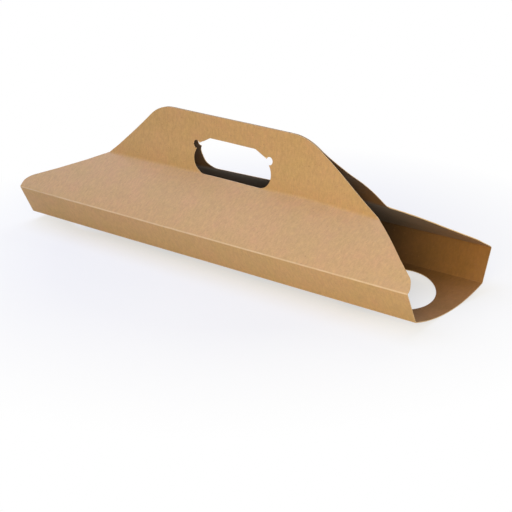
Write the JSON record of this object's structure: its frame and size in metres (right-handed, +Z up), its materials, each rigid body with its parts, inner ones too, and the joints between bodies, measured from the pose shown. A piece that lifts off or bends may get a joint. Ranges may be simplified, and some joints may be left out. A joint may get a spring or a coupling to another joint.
{
  "type": "cardboard cup carrier",
  "caption": "Folded kraft board carrier for drink cups: a bowed base with round cup holes, leaning walls, sloping roofs and a grip with a hand hole.",
  "frame": {"origin": "lowest line of the bowed base, halfway along the carrier and midway between its walls", "axes": "+X along the carrier, +Z up towards the grip, Y across from wall to wall"},
  "size_m": [0.4, 0.1124, 0.1109],
  "materials": {
    "kraft_board": "matte, unbleached, with fine fibre speckle"
  },
  "bodies": {
    "root": {"cup_carrier": "kraft_board"}
  },
  "joints": []
}
